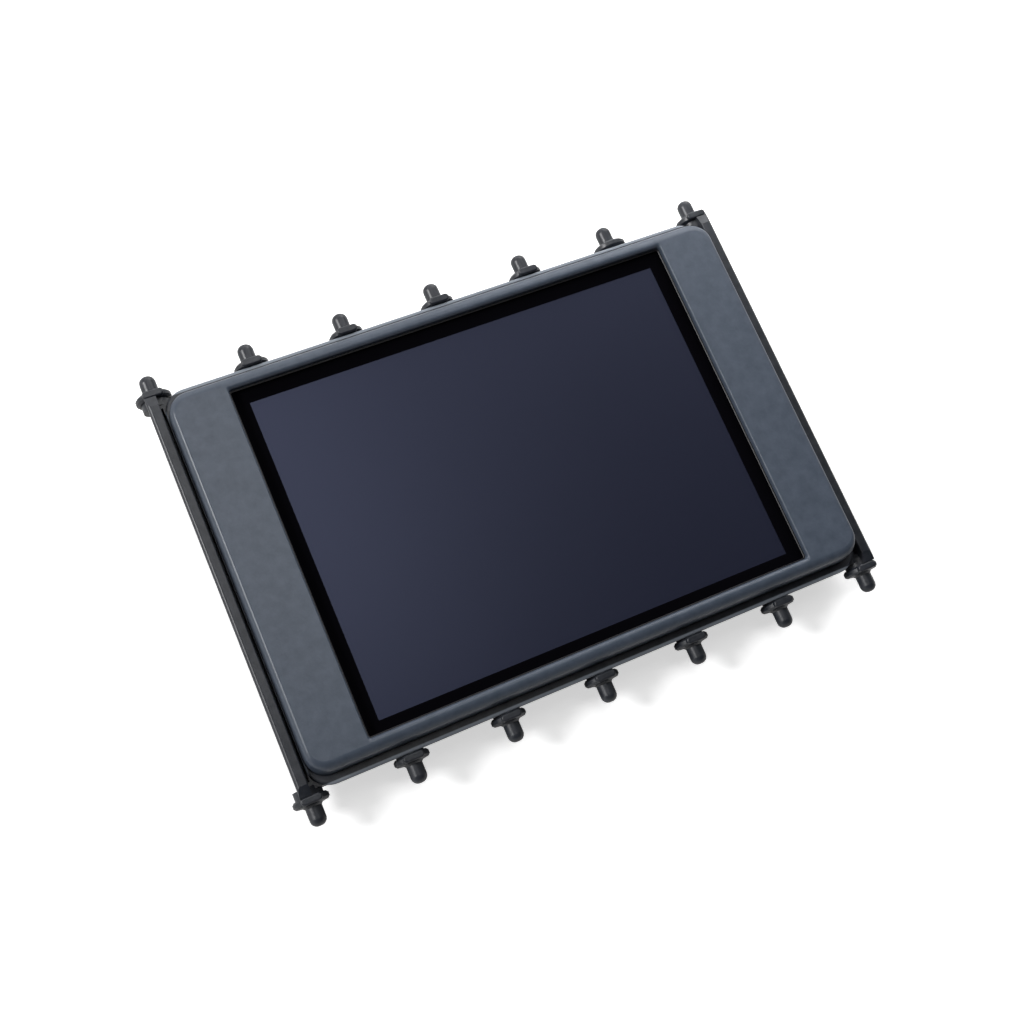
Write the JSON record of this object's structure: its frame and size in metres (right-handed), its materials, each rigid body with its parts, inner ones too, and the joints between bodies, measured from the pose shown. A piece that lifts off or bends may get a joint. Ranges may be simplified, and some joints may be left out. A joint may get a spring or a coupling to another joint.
{
  "type": "car multifunction display",
  "caption": "Flat rectangular display module for a vehicle, with wide side margins, two side rails and a row of flanged pegs along each long edge.",
  "frame": {"origin": "centre of the rear face, on the surface the display lies on", "axes": "+X along the long edge, +Y up the picture, +Z out of the screen"},
  "size_m": [0.1474, 0.1076, 0.0184],
  "materials": {
    "bezel": "fine moulded texture",
    "foam": "matt foam",
    "rubber_frame": "soft satin",
    "black_border": "printed black film",
    "screen": "anti-glare polariser",
    "glass": "clear",
    "chip": "moulded",
    "flex": "amber film",
    "pressed_steel": "pressed sheet",
    "film": "translucent film",
    "clear_plastic": "polished clear plastic",
    "white_plastic": "white moulded",
    "board": "solder mask",
    "led": "phosphor window",
    "resistor": "matt",
    "connector": "moulded",
    "inductor": "ferrite",
    "capacitor": "drawn can",
    "socket": "moulded",
    "contact": "plated",
    "cover": "moulded",
    "screw": "zinc plated"
  },
  "bodies": {
    "root": {"front_bezel": "bezel", "dust_seal": "foam", "mounting_frame": "rubber_frame", "mask_film": "black_border", "front_polariser": "screen", "front_glass": "glass", "rear_glass": "glass", "rear_polariser": "screen", "driver_chips": "chip", "panel_flex": "flex", "panel_frame": "pressed_steel", "prism_film": "film", "diffuser_film": "film", "light_guide": "clear_plastic", "reflector_sheet": "white_plastic", "backlight_tray": "white_plastic", "led_strip": "board", "backlight_leds": "led", "backlight_flex": "flex", "driver_board": "board", "controller_chip": "chip", "memory_chip": "chip", "chip_resistors": "resistor", "flex_connector": "connector", "backlight_connector": "connector", "power_inductor": "inductor", "filter_capacitors": "capacitor", "harness_socket": "socket", "socket_pins": "contact", "rear_cover": "cover", "cover_screws": "screw", "board_screws": "screw"}
  },
  "joints": []
}
